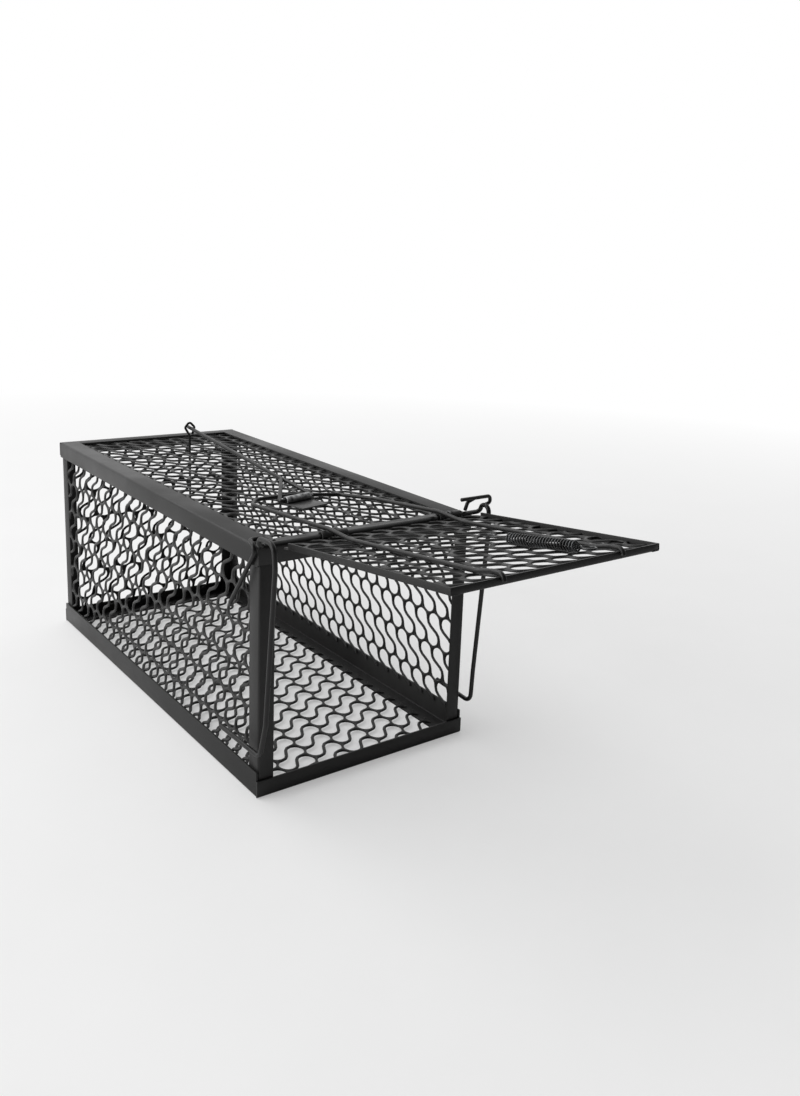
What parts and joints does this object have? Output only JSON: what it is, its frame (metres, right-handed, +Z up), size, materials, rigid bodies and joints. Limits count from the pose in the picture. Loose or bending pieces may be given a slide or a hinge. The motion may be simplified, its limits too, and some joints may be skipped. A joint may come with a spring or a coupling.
{
  "type": "live catch trap",
  "caption": "Cage trap for live capture: mesh panels on sheet steel angles, top-hung door set open, wire lever and trigger arm on the roof, bait hook and side lock bail.",
  "frame": {"origin": "centre of the whole object's box, on the plane the cage stands on", "axes": "+Z up, +Y towards the rear of the cage, the open door points to -Y"},
  "size_m": [0.1282, 0.3734, 0.1327],
  "materials": {
    "angle_steel": "black powder coat, satin, with a fine orange-peel texture",
    "mesh_steel": "black powder coat on pressed mesh, satin",
    "door_steel": "black powder coat, satin",
    "plate_steel": "dark grey coated sheet, rolled hem worn brighter",
    "wire_steel": "black coated round wire, semi-gloss",
    "spring_steel": "dark steel wire with a light oil sheen"
  },
  "bodies": {
    "cage": {"top_left_rail": "angle_steel", "bottom_left_rail": "angle_steel", "front_left_post": "angle_steel", "rear_left_post": "angle_steel", "top_right_rail": "angle_steel", "bottom_right_rail": "angle_steel", "front_right_post": "angle_steel", "rear_right_post": "angle_steel", "front_top_rail": "angle_steel", "front_bottom_rail": "angle_steel", "rear_top_rail": "angle_steel", "rear_bottom_rail": "angle_steel", "left_mesh": "mesh_steel", "right_mesh": "mesh_steel", "roof_mesh": "mesh_steel", "floor_mesh": "mesh_steel", "rear_mesh": "mesh_steel", "trigger_plate": "plate_steel", "hinge_clip_left": "spring_steel", "hinge_clip_right": "spring_steel", "anchor_wire": "wire_steel"},
    "door": {"door_hinge_edge": "door_steel", "door_left_edge": "door_steel", "door_right_edge": "door_steel", "door_end_edge": "door_steel", "door_mesh": "mesh_steel", "door_lever": "wire_steel", "door_spring": "spring_steel"},
    "lock_bail": {"hinge_rod": "wire_steel", "bail_left_arm": "wire_steel", "bail_right_arm": "wire_steel", "bail_tail": "wire_steel"},
    "trigger": {"trigger_arm": "wire_steel"},
    "bait": {"bait_hook": "wire_steel"}
  },
  "joints": [
    {"name": "door_hinge", "type": "hinge", "parent": "cage", "child": "door", "pos_m": [-0.00218, -0.0711, 0.1166], "axis": [1, 0, 0], "range_deg": [0, 95.5]},
    {"name": "bail_swing", "type": "hinge", "parent": "cage", "child": "lock_bail", "pos_m": [-0.00218, -0.0711, 0.1166], "axis": [-1, 0, 0], "range_deg": [0, 80]},
    {"name": "trigger_pivot", "type": "hinge", "parent": "cage", "child": "trigger", "pos_m": [-0.00618, -0.0073, 0.1163], "axis": [0.9781, 0.2079, 0], "range_deg": [0, 100]},
    {"name": "bait_swing", "type": "hinge", "parent": "cage", "child": "bait", "pos_m": [-0.00018, 0.1313, 0.1134], "axis": [-1, 0, 0], "range_deg": [-8, 12]}
  ]
}
